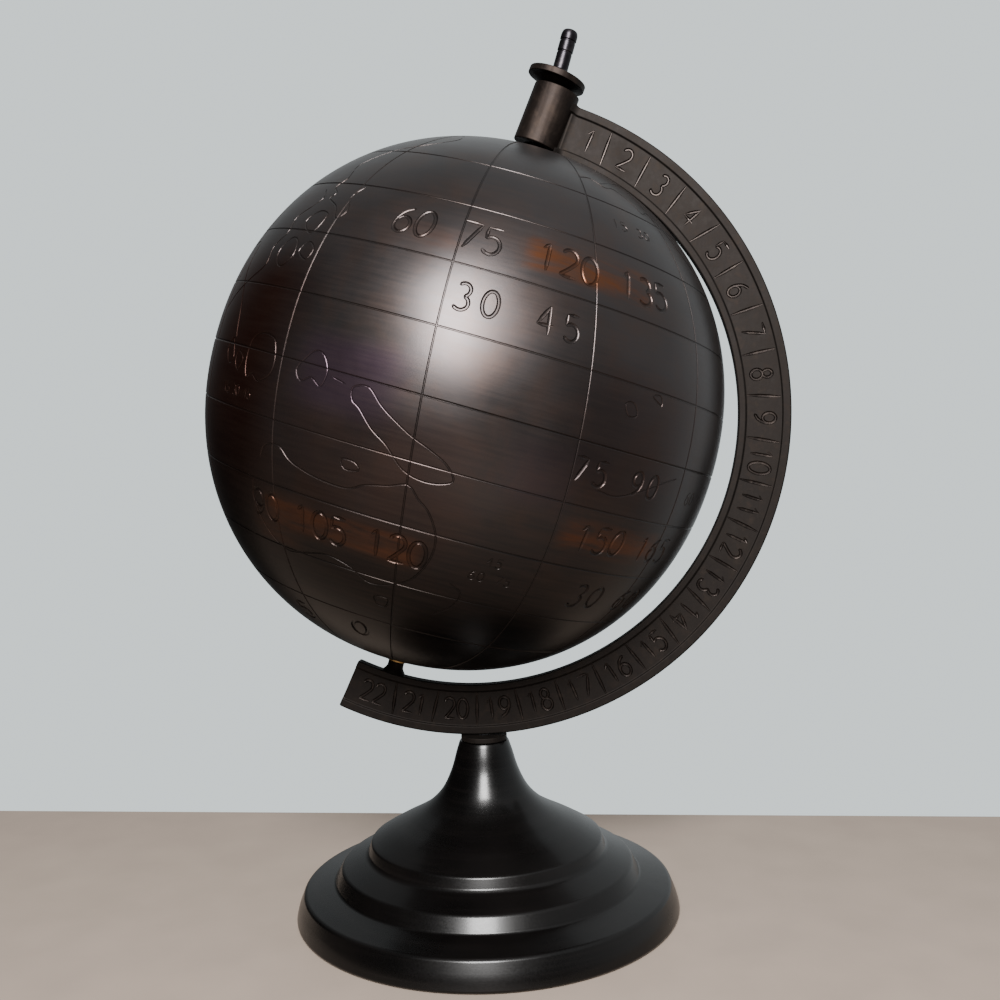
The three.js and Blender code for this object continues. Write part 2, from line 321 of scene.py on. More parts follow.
def pressed_board():
    p = Paint("hardboard", metallic=0.0)
    fibre = p.noise(2.5, 6, 0.7, warp=1.2)
    colour = p.mix(p.span(fibre, 0.3, 0.7), (0.085, 0.048, 0.026), (0.16, 0.10, 0.06))
    return p.finish(colour, p.span(fibre, 0.3, 0.7, 0.7, 0.88), p.bump(fibre, 0.06))


def green_felt():
    p = Paint("felt", metallic=0.0)
    nap = p.noise(0.6, 6, 0.75)
    tuft = p.noise(4, 5, 0.7)
    colour = p.mix(p.span(tuft, 0.3, 0.7), (0.010, 0.016, 0.012), (0.024, 0.034, 0.026))
    p.shader.inputs["Sheen Weight"].default_value = 0.5
    return p.finish(colour, p.span(nap, 0.3, 0.7, 0.88, 0.98), p.bump(nap, 0.12))


PAINTS = {
    "ball_copper": ball_copper("ball_copper"),
    "ball_groove": ball_copper("ball_groove", 0.3),
    "arc_bronze": worn_bronze("arc_bronze", (0.0075, 0.0060, 0.0054), (0.0115, 0.0092, 0.0080),
                              (0.024, 0.017, 0.013), 0.6),
    "arc_groove": worn_bronze("arc_groove", (0.0075, 0.0058, 0.0052), (0.020, 0.0155, 0.0138),
                              (0.058, 0.046, 0.039), 0.32),
    "collar_bronze": worn_bronze("collar_bronze", (0.0075, 0.0055, 0.0050), (0.018, 0.0125, 0.0098),
                                 (0.036, 0.025, 0.019), 0.5, turn=COLLAR_FRAME, flats=0.5),
    "pin_black": worn_bronze("pin_black", (0.011, 0.0098, 0.012), (0.018, 0.016, 0.019),
                             (0.05, 0.043, 0.043), 0.3, turn=AXIS_FRAME, wear=0.6),
    "band_dark": plain_metal("band_dark", (0.020, 0.013, 0.010), (0.035, 0.022, 0.016), 0.45),
    "foot_black": foot_black(),
    "brass": plain_metal("brass", (0.22, 0.13, 0.05), (0.38, 0.25, 0.10), 0.28),
    "inner_steel": plain_metal("inner_steel", (0.20, 0.20, 0.21), (0.38, 0.38, 0.39), 0.28),
    "hardboard": pressed_board(),
    "felt": green_felt(),
}


# ---- Mesh helpers -----------------------------------------------------------------------------

def metres(matrix):
    """The same placing, with its shift in metres."""
    scaled = matrix.copy()
    scaled.translation = matrix.translation * MM
    return scaled


def new_object(name, corners, faces, matrix):
    mesh = bpy.data.meshes.new(name)
    mesh.from_pydata((np.asarray(corners, float) * MM).tolist(), [], faces)
    mesh.update()
    thing = bpy.data.objects.new(name, mesh)
    thing.matrix_world = metres(matrix)
    bpy.context.scene.collection.objects.link(thing)
    return thing


def coat(thing, *paints):
    thing.data.materials.clear()
    for name in paints:
        thing.data.materials.append(PAINTS[name])


def baked(thing):
    """Replaces the object's mesh by the one its modifiers give."""
    bpy.context.view_layer.update()
    graph = bpy.context.evaluated_depsgraph_get()
    mesh = bpy.data.meshes.new_from_object(thing.evaluated_get(graph))
    thing.modifiers.clear()
    old, thing.data = thing.data, mesh
    name = old.name
    bpy.data.meshes.remove(old)
    mesh.name = name


def shade(thing, split_deg=40):
    """Smooth shading that keeps wide faces flat and corners sharper than the split crisp."""
    thing.data.shade_smooth()
    thing.data.set_sharp_from_angle(angle=math.radians(split_deg))
    even = thing.modifiers.new("even", "WEIGHTED_NORMAL")
    even.keep_sharp = True
    even.weight = 80
    baked(thing)


def belongs(thing, body, slot, *nodes):
    """Settles the mesh in the row frame, hangs it on its body and hides the parts that it stands for.
    """
    thing.data.transform(thing.matrix_world)
    thing.matrix_world = Matrix.Identity(4)
    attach(thing, body)
    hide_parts(*nodes)


def finished(thing, paint, body, node, split_deg=40):
    """Paints, shades and settles a piece whose slot has the paint's name."""
    coat(thing, paint)
    shade(thing, split_deg)
    belongs(thing, body, paint, node)


class Surface:
    """The arrays of a smooth-shaded mesh, to set its corners' normals and its faces' paints."""

    def __init__(self, mesh, split_deg):
        mesh.shade_smooth()
        mesh.set_sharp_from_angle(angle=math.radians(split_deg))
        self.mesh = mesh
        self.spots = self.read(mesh.vertices, "co", 3) / MM
        self.corner = self.read(mesh.loops, "vertex_index", 1, np.int32)[:, 0]
        self.normals = self.read(mesh.corner_normals, "vector", 3)
        self.starts = self.read(mesh.polygons, "loop_start", 1, np.int32)[:, 0]
        self.counts = np.diff(np.append(self.starts, len(mesh.loops)))
        self.flat = self.on_corners(self.read(mesh.polygons, "normal", 3))

    @staticmethod
    def read(items, key, width, kind=float):
        values = np.zeros(len(items) * width, kind)
        items.foreach_get(key, values)
        return values.reshape(-1, width)

    def on_corners(self, values):
        """Each face's value, on each of its corners."""
        return np.repeat(values, self.counts, axis=0)

    def least(self, values):
        """Each face's least value, from values by vertex."""
        return np.minimum.reduceat(values[self.corner], self.starts)

    def settle(self, grooved):
        """Grooved faces stay flat and take the second paint. All normals go to the mesh."""
        inside = self.on_corners(grooved)
        self.normals[inside] = self.flat[inside]
        self.mesh.normals_split_custom_set(self.normals.tolist())
        self.mesh.polygons.foreach_set("material_index", grooved.astype(np.int32))


def rounded(outline, radius, steps=4):
    """A closed outline with each corner off the axis eased by at most that radius. A corner's
    third value is a radius of its own."""
    result = []
    count = len(outline)
    for i, point in enumerate(outline):
        reach = point[2] if len(point) > 2 else radius
        corner = Vector(point[:2])
        if corner.x == 0 or reach == 0:
            result.append(tuple(corner))
            continue
        back = Vector(outline[i - 1][:2]) - corner
        ahead = Vector(outline[(i + 1) % count][:2]) - corner
        reach = min(reach, 0.48 * back.length, 0.48 * ahead.length)
        start = corner + back.normalized() * reach
        end = corner + ahead.normalized() * reach
        for k in range(steps + 1):
            t = k / steps
            result.append(tuple(start * (1 - t) ** 2 + corner * 2 * t * (1 - t) + end * t * t))
    return result


def turned(name, outline, matrix, segments=96):
    """A body turned about Z from a closed outline of (radius, height)."""
    corners, rows = [], []
    for r, z in outline:
        if r == 0:
            rows.append([len(corners)])
            corners.append((0, 0, z))
            continue
        rows.append(list(range(len(corners), len(corners) + segments)))
        for k in range(segments):
            angle = 2 * math.pi * k / segments
            corners.append((r * math.cos(angle), r * math.sin(angle), z))
    faces = []
    count = len(rows)
    for i in range(count):
        low, high = rows[i], rows[(i + 1) % count]
        if len(low) == 1 and len(high) == 1:
            continue
        for k in range(segments):
            n = (k + 1) % segments
            quad = [low[k % len(low)], low[n % len(low)], high[n % len(high)], high[k % len(high)]]
            faces.append(list(dict.fromkeys(quad)))
    return new_object(name, corners, faces, matrix)


def smooth_path(points, step, closed=False):
    """A Catmull-Rom line through the points, sampled about every step."""
    points = [Vector(p) for p in points]
    count = len(points)
    result = []
    for i in range(count if closed else count - 1):
        if closed:
            a, b, c, d = (points[(i + k) % count] for k in (-1, 0, 1, 2))
        else:
            b, c = points[i], points[i + 1]
            a = points[i - 1] if i else b * 2 - c
            d = points[i + 2] if i + 2 < count else c * 2 - b
        pieces = max(1, math.ceil((c - b).length / step))
        for k in range(pieces):
            t = k / pieces
            result.append(0.5 * (b * 2 + (c - a) * t + (a * 2 - b * 5 + c * 4 - d) * t * t
                                 + (b * 3 - a - c * 3 + d) * t ** 3))
    if not closed:
        result.append(points[-1])
    return result


# ---- Engraving --------------------------------------------------------------------------------

STRAIGHT_STEP = 2.5  # between the samples of a straight stroke
# Across a groove, in half widths of it. The skin is at -1 and 1.
GROOVE_STATIONS = (-1.3, -0.65, -0.25, 0.25, 0.65, 1.3)
STROKE_END = 0.45  # share of a groove's width and depth at its ends


def groove_cutter(points, normals, width, depth, closed=False):
    """Corners and faces of a round-bottomed cutter that runs along points on a surface."""
    section = [(0.5 * width * x, depth * (x * x - 1)) for x in GROOVE_STATIONS]
    count, sides = len(points), len(section)
    corners = []
    for i in range(count):
        if closed:
            along = points[(i + 1) % count] - points[i - 1]
        else:
            along = points[min(i + 1, count - 1)] - points[max(i - 1, 0)]
        normal = normals[i]
        side = along.cross(normal).normalized()
        share = STROKE_END if not closed and i in (0, count - 1) else 1
        corners += [tuple(points[i] + side * x * share + normal * (h * share if h < 0 else h))
                    for x, h in section]
    faces = []
    for i in range(count if closed else count - 1):
        near, far = i * sides, (i + 1) % count * sides
        for j in range(sides):
            n = (j + 1) % sides
            faces.append((near + j, far + n, near + n))
            faces.append((near + j, far + j, far + n))
    if not closed:
        faces.append(tuple(range(sides)))
        faces.append(tuple((count - 1) * sides + j for j in reversed(range(sides))))
    return corners, faces


def engrave(thing, matrix, cutters, solver):
    """Cuts every groove out of the object, in one step."""
    holder = bpy.data.collections.new("cutters")
    bpy.context.scene.collection.children.link(holder)
    made = []
    for corners, faces in cutters:
        cutter = new_object("cutter", corners, faces, matrix)
        bpy.context.scene.collection.objects.unlink(cutter)
        holder.objects.link(cutter)
        made.append(cutter)
    cut = thing.modifiers.new("engrave", "BOOLEAN")
    cut.operation = "DIFFERENCE"
    cut.operand_type = "COLLECTION"
    cut.collection = holder
    cut.solver = solver
    baked(thing)
    for cutter in made:
        mesh = cutter.data
        bpy.data.objects.remove(cutter)
        bpy.data.meshes.remove(mesh)
    bpy.data.collections.remove(holder)


def ellipse(cx, cy, rx, ry, start=0, end=360, steps=20):
    return [(cx + rx * math.cos(math.radians(start + (end - start) * k / steps)),
             cy + ry * math.sin(math.radians(start + (end - start) * k / steps)))
            for k in range(steps + 1)]


# Each numeral's strokes in a box 0.62 wide and 1 high. A stroke that ends where it starts is closed.
NUMERAL_MIDDLE = (0.31, 0.5)
NUMERALS = {
    "0": [ellipse(0.31, 0.5, 0.28, 0.48)],
    "1": [[(0.32, 0), (0.32, 1)], [(0.12, 0.78), (0.32, 1)]],
    "2": [ellipse(0.31, 0.71, 0.26, 0.28, 160, -30, 12) + [(0.3, 0.28), (0.05, 0.02)],
          [(0.05, 0.02), (0.6, 0.02)]],
    "3": [ellipse(0.3, 0.75, 0.23, 0.24, 150, -80, 12), ellipse(0.3, 0.26, 0.27, 0.26, 80, -150, 14)],
    "4": [[(0.44, 0), (0.44, 1)], [(0.44, 1), (0.02, 0.32)], [(0.02, 0.32), (0.62, 0.32)]],
    "5": [[(0.56, 0.98), (0.1, 0.98)], [(0.1, 0.98), (0.07, 0.55)],
          [(0.07, 0.55)] + ellipse(0.29, 0.32, 0.28, 0.32, 110, -150, 16)],
    "6": [ellipse(0.31, 0.3, 0.26, 0.29), [(0.5, 0.96), (0.22, 0.78), (0.07, 0.5), (0.05, 0.3)]],
    "7": [[(0.02, 0.98), (0.6, 0.98)], [(0.6, 0.98), (0.22, 0)]],
    "8": [ellipse(0.31, 0.76, 0.2, 0.22), ellipse(0.31, 0.27, 0.26, 0.27)],
    "9": [ellipse(0.31, 0.7, 0.26, 0.29), [(0.12, 0.04), (0.4, 0.22), (0.55, 0.5), (0.57, 0.7)]],
}


def numeral_strokes(text, height, pitch, hand):
    """The strokes of a row of numerals centred on the origin, a little uneven, as cut by hand."""
    middle_x, middle_y = NUMERAL_MIDDLE
    strokes = []
    left = -0.5 * pitch * (len(text) - 1)
    for i, letter in enumerate(text):
        if letter == " ":
            continue
        lean = math.radians(hand.uniform(-3, 3))
        size = height * hand.uniform(0.95, 1.03)
        lift = hand.uniform(-0.02, 0.02) * height
        for stroke in NUMERALS[letter]:
            line = []
            for x, y in stroke:
                x, y = (x - middle_x) * size, (y - middle_y) * size
                line.append((left + i * pitch + x * math.cos(lean) - y * math.sin(lean),
                             lift + x * math.sin(lean) + y * math.cos(lean)))
            strokes.append(line)
    return strokes


def stroke_line(stroke, step, squeeze=1):
    """A stroke as a smooth line, and whether it closes on itself."""
    closed = math.dist(stroke[0], stroke[-1]) < 1e-6
    points = [(x * squeeze, y, 0) for x, y in (stroke[:-1] if closed else stroke)]
    return smooth_path(points, step if len(stroke) > 2 else STRAIGHT_STEP, closed), closed


# ---- The ball ---------------------------------------------------------------------------------

def ball_reach(lat, size=BALL_R):
    across, up = math.cos(lat), math.sin(lat) / BALL_POLAR_RATIO
    return size / (abs(across) ** BALL_FULLNESS + abs(up) ** BALL_FULLNESS) ** (1 / BALL_FULLNESS)


def ball_normal(x, y, z):
    """Unit normals of the ball's surface at arrays of local points, in millimetres."""
    rho = np.hypot(x, y)
    out = rho ** (BALL_FULLNESS - 1)
    up = np.sign(z) * np.abs(z / BALL_POLAR_RATIO) ** (BALL_FULLNESS - 1) / BALL_POLAR_RATIO
    normal = np.stack((out * x / rho, out * y / rho, up), -1)
    return normal / np.linalg.norm(normal, axis=-1, keepdims=True)


def on_ball(lat_deg, lon_deg):
    """The point of the ball at a latitude and longitude in degrees. Longitude 0 is the front."""
    lat, lon = math.radians(lat_deg), math.radians(lon_deg)
    reach = ball_reach(lat)
    return Vector((reach * math.cos(lat) * math.sin(lon), -reach * math.cos(lat) * math.cos(lon),
                   reach * math.sin(lat)))


def ball_groove(places, width, depth, closed=False):
    points = [on_ball(lat, lon) for lat, lon in places]
    normals = [Vector(n) for n in ball_normal(*np.array([tuple(p) for p in points]).T)]
    return groove_cutter(points, normals, width, depth, closed)


PARALLELS = (50.9, 37.8, 25.0, 12.6, -11.9, -24.2, -37.0, -49.3)
MERIDIANS = 12
MERIDIAN_END = 83
LINE_WIDTH, LINE_DEPTH = 0.8, 0.24
COAST_WIDTH, COAST_DEPTH = 0.8, 0.22
NUMERAL_WIDTH, SMALL_NUMERAL_WIDTH = 1.55, 0.7
SMALL_NUMERAL = 6  # the height that a small numeral stays under
NUMERAL_DEPTH = 0.27  # share of the width


def graticule():
    cutters = []
    for lat in PARALLELS:
        ring = [(lat, lon) for lon in np.arange(0, 360, 1.5)]
        cutters.append(ball_groove(ring, LINE_WIDTH, LINE_DEPTH, closed=True))
    for k in range(MERIDIANS):
        line = [(lat, 360 / MERIDIANS * k - 0.3 - 0.08 * lat)
                for lat in np.arange(-MERIDIAN_END, MERIDIAN_END + 0.1, 1.66)]
        cutters.append(ball_groove(line, LINE_WIDTH, LINE_DEPTH))
    return cutters


# Rows of numerals: text, latitude and longitude of the row's middle, numeral height and pitch.
BALL_ROWS = (
    ("60 75", 31.2, -6.0, 10.6, 7.6), ("120 135", 31.2, 30.5, 10.2, 7.4),
    ("30 45", 19.0, 12.5, 9.0, 9.0),
    ("75 90", -5.2, 41.0, 8.2, 8.2), ("150 165", -17.6, 51.5, 9.6, 7.4),
    ("30 60", -30.2, 56.5, 9.6, 8.6), ("90 105 120", -29.2, -13.8, 10.4, 6.9),
    ("45", -26.8, 22.0, 3.6, 3.2), ("60 75", -30.4, 22.5, 3.6, 3.1),
    ("15 30 45", -8.6, -43.0, 3.6, 2.5), ("15 30", 45.2, 39.5, 4.2, 3.6),
    ("60", -5.6, 66.5, 5.0, 4.4), ("5", -55.6, -31.0, 9.5, 9.0), ("0", -54.8, -7.0, 9.5, 9.0),
    ("90 75", 44.0, 112.0, 8.8, 7.2), ("60 45 30", -30.5, 118.0, 9.6, 7.6),
    ("30 15", 31.2, 152.0, 9.6, 7.8), ("15 0 15", 6.0, 166.0, 8.8, 7.8),
    ("30 45 60", 31.0, -103.0, 9.6, 7.4), ("15 30", 6.0, -140.0, 9.2, 7.8),
    ("45 60 75", -18.0, -88.0, 9.4, 7.6), ("75 90", 57.5, -75.0, 8.0, 7.0),
    ("0", -55.2, 150.0, 9.5, 9.0), ("0", -55.2, -110.0, 9.5, 9.0),
)

# Coasts and islands as latitude, longitude pairs. The first value says whether a line is closed.
COASTS = (
    # the northern islands and the mainland coast on the left
    (True, ((27, -42), (29.5, -40), (29, -36.5), (26, -36), (24.5, -38.5))),
    (False, ((36, -46), (33.5, -43), (31, -44.5), (28, -47), (24, -46), (21, -48.5), (17, -47.5),
             (14, -51), (10, -56), (7, -60))),
    (False, ((42, -44), (39, -41.5), (36.5, -42.5), (34.5, -39.5), (33, -40.5), (31.5, -36),
             (28.8, -33), (30.8, -31), (34, -33.2), (37, -31.5))),
    (True, ((20.5, -44.5), (23, -43), (22.5, -40), (19.5, -38.8), (17, -41.5), (18, -44))),
    (True, ((20.2, -37.2), (22.6, -36), (21.5, -33.2), (18.6, -34))),
    # the island group near the equator
    (True, ((-2, -41), (1.5, -40.8), (3.4, -37.6), (2.6, -33.8), (-0.6, -32), (-4, -32.8),
            (-6, -35.6), (-4.6, -38), (-5.6, -40.2))),
    (True, ((0.8, -48.6), (-1.2, -50.4), (-3.6, -48.4), (-2.4, -46.4))),
    (True, ((-3.4, -45.6), (-0.8, -44.6), (-2.4, -42.8), (-4.6, -43.8))),
    (True, ((0.4, -24.8), (2.6, -22.8), (2, -20.4), (-0.4, -18.8), (-3.2, -20), (-2.6, -22.4),
            (-3.6, -24.6), (-1.6, -25.8))),
    (False, ((-1.4, -17.4), (-1.8, -14.6))),
    # the large bird-shaped island
    (True, ((-2.2, -13.4), (-1.2, -10.4), (-4.2, -6.6), (-7.2, -0.8), (-8.8, 3.6), (-11.2, 7.4),
            (-13.6, 8.8), (-14.8, 4.8), (-13.8, 0), (-10.6, -4.6), (-8.4, -7.8), (-5.4, -11.2),
            (-4.4, -12.8))),
    (True, ((-15.2, -12.4), (-15, -9.6), (-16.4, -8.8), (-17, -11.4))),
    # the southern continent's coast
    (False, ((-19.8, -32.6), (-17.2, -31), (-16.4, -27.2), (-18.4, -24.4), (-19.4, -21.6),
             (-20.2, -16.4), (-20.4, -10.6), (-18.8, -6.8), (-17.6, -2.6), (-16.6, 1),
             (-18.4, 3.8), (-20.6, 6.6), (-24.6, 8.6), (-29.6, 8.8), (-34.6, 6.2), (-37.8, 1.4),
             (-38.6, -3.8), (-36.4, -8.6), (-35.4, -14.4), (-36.4, -20.4), (-37.6, -26.6),
             (-34.6, -31.8), (-29, -35.4), (-24, -35))),
    (True, ((-41.6, -1.4), (-41.4, 1.8), (-43.6, 1.6), (-43.8, -1))),
    (False, ((-33.6, 14.6), (-35.8, 18), (-39.4, 17.2), (-42.6, 13.4))),
    # islands at the right and the line between them
    (True, ((8.4, 37.8), (9.4, 39.6), (7.4, 40.8), (6.6, 38.8))),
    (True, ((11.2, 44), (12, 46), (10.2, 46.6))),
    (False, ((-8, 36.4), (-8.6, 41), (-7.4, 45.4), (-5.4, 49.6), (-3.4, 53.4), (-2.4, 57.6))),
    (False, ((57.6, 24.4), (58.8, 30), (57.4, 35.8), (58.6, 41), (56.4, 46), (52.8, 49.6),
             (54.4, 54.6), (49.4, 60.4), (45, 65.6), (40.4, 72.6), (34.4, 75.8), (29, 81.6),
             (23.4, 88.4), (19.4, 92.4), (16.6, 97), (19.4, 103), (21, 107.4), (16.4, 110.4),
             (10.4, 113.6), (8.2, 118.4))),
    # the two continents round the back
    (False, ((8.4, 118.6), (10.8, 123.4), (9.6, 130.4), (5, 135), (1.4, 140.6), (-4.6, 145.4),
             (-12.6, 143.6), (-20.4, 140.4), (-26.4, 136), (-33.6, 130.2), (-40.4, 126.8),
             (-47, 124.4), (-52.6, 122.2), (-46, 118), (-35.4, 119.6), (-24.4, 121.6),
             (-15.6, 117.8), (-6, 112.6), (1.4, 114.6), (8, 118.2))),
    (False, ((22.4, 115), (27.8, 118.4), (30.4, 125), (35.4, 129.4), (41.4, 134.6), (45.6, 142),
             (51, 148), (57.6, 146.6), (61.4, 137), (64, 126), (66.4, 112), (68.4, 94),
             (66, 74), (64.4, 56), (61, 42), (58.4, 34))),
    (True, ((62, 160), (67, 154), (73, 162), (76, 182), (71.4, 195), (65.4, 184))),
    (False, ((35.6, -152.4), (36.8, -160), (32.6, -166), (27.4, -172.6), (20, -176.4),
             (13.4, -174), (5.8, -168), (4.6, -158.4), (3.4, -150.6), (-4.6, -146), (-14.4, -147.4),
             (-24, -144.6), (-34, -139.6), (-33.4, -130), (-25.4, -123), (-15.8, -118.6),
             (-5, -118), (4, -110.4), (11.4, -106.8), (11.8, -111.4), (19.6, -119.6),
             (29.6, -125))),
    (True, ((-15.6, -110), (-13, -106.6), (-20, -107), (-25, -111.2), (-22, -113.4))),
    (False, ((36, -151), (43.4, -153.4), (47.8, -148), (53.6, -141), (59.4, -134), (65.6, -128),
             (69.4, -112), (71, -92), (72.4, -70), (69.4, -50), (66.6, -34), (61.4, -26),
             (55.4, -32), (51.4, -40), (45.4, -45), (42.6, -44))),
    (False, ((29.6, -110), (24.8, -100), (22.6, -90.4), (14.4, -84.4), (7.6, -76.4), (12.4, -73),
             (19.4, -68.4), (21.6, -60), (15.6, -57), (8.4, -50.6), (1.6, -47.6))),
)


def ball_numerals():
    hand = random.Random(11)
    cutters = []
    for text, lat, lon, height, pitch in BALL_ROWS:
        across = ball_reach(math.radians(lat)) * math.cos(math.radians(lat))
        width = NUMERAL_WIDTH if height > SMALL_NUMERAL else SMALL_NUMERAL_WIDTH
        for stroke in numeral_strokes(text, height, pitch, hand):
            line, closed = stroke_line(stroke, 0.9)
            places = [(lat + math.degrees(p.y / BALL_R), lon + math.degrees(p.x / across))
                      for p in line]
            cutters.append(ball_groove(places, width, width * NUMERAL_DEPTH, closed))
    return cutters


def ball_coasts():
    hand = random.Random(5)
    cutters = []
    for closed, points in COASTS:
        line = smooth_path([(lon + hand.uniform(-0.3, 0.3), lat + hand.uniform(-0.3, 0.3), 0)
                            for lat, lon in points], 0.8, closed)
        cutters.append(ball_groove([(p.y, p.x) for p in line], COAST_WIDTH, COAST_DEPTH, closed))
    return cutters


# Colour and painted shade on the ball: mask name, latitude range, longitude range, strength, and
# softness in degrees of latitude. The softness in longitude is twice as much.
PATCHES = (
    ("glow", (28.2, 34.6), (12.0, 41.5), 1.0, 2.4), ("glow", (27.6, 31.0), (-14.0, -3.0), 0.3, 3),
    ("glow", (-20.4, -14.8), (33.0, 60.0), 0.62, 2.4),
    ("glow", (-32.2, -26.4), (-31.0, 6.0), 0.5, 2.4),
    ("glow", (-36.0, -30.4), (-36, -22), 0.25, 3), ("glow", (41.0, 45.0), (101, 124), 0.6, 2.4),
    ("glow", (-34.0, -27.5), (106, 131), 0.6, 2.4), ("glow", (28.0, 34.4), (-118, -90), 0.6, 2.4),
    # The first red patch, on the ball's left side, is red-brown patina darkened as painted shade.
    ("red", (-42, 18), (-75, -32), 0.95, 10), ("red", (-30, -4), (-31, 12), 0.3, 8),
    ("red", (-12, 14), (28, 60), 0.3, 9), ("violet", (-7, 6), (-25, -6), 1.0, 5),
    # The dark patch is painted shade over the ball's lower half.
    ("violet", (-14, -2), (18, 30), 0.25, 5), ("dark", (-120, -25), (-220, 220), 0.92, 36),
)


def ball_masks(mesh):
    """Paints the patch masks on the mesh's vertices."""
    x, y, z = Surface.read(mesh.vertices, "co", 3).T
    lat = np.degrees(np.arctan2(z, np.hypot(x, y)))
    lon = np.degrees(np.arctan2(x, -y))

    def soft_box(values, low, high, soft):
        rise = np.clip((values - low) / soft + 0.5, 0, 1)
        fall = np.clip((high - values) / soft + 0.5, 0, 1)
        both = rise * fall
        return both * both * (3 - 2 * both)

    for mask in ("glow", "red", "violet", "dark"):
        total = np.zeros(len(lat))
        for name, lats, lons, strength, soft in PATCHES:
            if name == mask:
                box = soft_box(lat, *lats, soft) * soft_box(lon, *lons, 2 * soft) * strength
                total = np.maximum(total, box)
        layer = mesh.attributes.new(mask, "FLOAT", "POINT")
        layer.data.foreach_set("value", total.astype(np.float32))


def clean_ball_normals(mesh):
    """Uncut skin takes the true surface's normals, and cut faces take the groove's material."""
    surface = Surface(mesh, 40)
    x, y, z = surface.spots.T
    rho = np.hypot(x, y)
    size = (rho ** BALL_FULLNESS + np.abs(z / BALL_POLAR_RATIO) ** BALL_FULLNESS) ** (
        1 / BALL_FULLNESS)
    on_skin = np.abs(size - BALL_R) < 0.04
    all_skin = surface.least(on_skin.astype(np.int32)) > 0
    outside = surface.least(size) > BALL_R - 0.9
    skin = surface.on_corners(all_skin)
    surface.normals[skin] = ball_normal(x, y, z)[surface.corner[skin]]
    surface.settle(~all_skin & outside)


def shell_outline(sign):
    """A half's section, from the equator to the pole's hole and back along the inside."""
    walls = []
    for size, rings in ((BALL_R, 64), (BALL_R - BALL_WALL, 24)):
        start = math.asin(SEAM / size)
        end = math.acos(POLE_HOLE_R / (size * BALL_POLAR_RATIO))
        wall = []
        for i in range(rings + 1):
            lat = start + (end - start) * i / rings
            reach = ball_reach(lat, size)
            wall.append((reach * math.cos(lat), sign * reach * math.sin(lat)))
        walls.append(wall)
    outer, inner = walls
    bevel = [(BALL_R - 0.3, sign * SEAM), (BALL_R, sign * 0.42)]
    outline = bevel + outer[1:] + inner[::-1]
    return outline if sign > 0 else outline[::-1]


def make_ball():
    cutters = graticule() + ball_coasts() + ball_numerals()
    for name, node, sign in (("ball_north_shell", "north_hemisphere", 1),
                             ("ball_south_shell", "south_hemisphere", -1)):
        shell = turned(name, shell_outline(sign), AXIS_FRAME, 240)
        mine = [c for c in cutters if max(sign * p[2] for p in c[0]) > -1]
        engrave(shell, AXIS_FRAME, mine, "MANIFOLD")
        coat(shell, "ball_copper", "ball_groove")
        clean_ball_normals(shell.data)
        ball_masks(shell.data)
        belongs(shell, "ball", "ball_copper", node)


# ---- The arc ----------------------------------------------------------------------------------

def arc_point(angle_deg, radius, side):
    angle = math.radians(angle_deg)
    return Vector((radius * math.cos(angle), side, radius * math.sin(angle)))


# The band's cells: where they start, the first divider and the pitch of the others, in degrees.
CELLS_START, FIRST_DIVIDER, DIVIDER_PITCH, CELLS = 66.9, 59.9, 8.27, 22
TOP_UP_TO = -45  # numbers past this angle stand with their heads inward
ARC_NUMERAL = 8.6  # height
ARC_NUMERAL_PITCH = 5.9
ARC_NUMERAL_SQUEEZE = 0.9
DIVIDER_WIDTH, ARC_NUMERAL_WIDTH, BAND_GROOVE_DEPTH = 1.5, 1.4, 0.45


def arc_cutters():
    """Dividers and one running number in each cell, on both faces of the band."""
    hand = random.Random(23)
    dividers = [FIRST_DIVIDER - DIVIDER_PITCH * k for k in range(CELLS - 1)]
    limits = [CELLS_START] + dividers + [ARC_END + 0.6]
    middle_r = 0.5 * (BAND_INNER_R + BAND_OUTER_R)
    cutters = []
    for face in (-1, 1):
        normal = Vector((0, face, 0))
        floor = face * BAND_FLOOR
        for angle in dividers:
            lean = hand.uniform(-0.5, 0.5)
            ends = [arc_point(angle - lean, BAND_INNER_R + 0.5, floor),
                    arc_point(angle + lean, BAND_OUTER_R - 0.5, floor)]
            line = [ends[0].lerp(ends[1], t / 3) for t in range(4)]
            cutters.append(groove_cutter(line, [normal] * 4, DIVIDER_WIDTH, BAND_GROOVE_DEPTH))
        for cell in range(CELLS):
            angle = 0.5 * (limits[cell] + limits[cell + 1])
            outward = arc_point(angle, 1, 0)
            upright = outward if angle > TOP_UP_TO else -outward
            across = normal.cross(upright) * -1
            middle = arc_point(angle, middle_r, floor)
            for stroke in numeral_strokes(str(cell + 1), ARC_NUMERAL, ARC_NUMERAL_PITCH, hand):
                line, closed = stroke_line(stroke, 0.8, ARC_NUMERAL_SQUEEZE)
                points = [middle + across * p.x + upright * p.y for p in line]
                cutters.append(groove_cutter(points, [normal] * len(points), ARC_NUMERAL_WIDTH,
                                             BAND_GROOVE_DEPTH, closed))
    return cutters


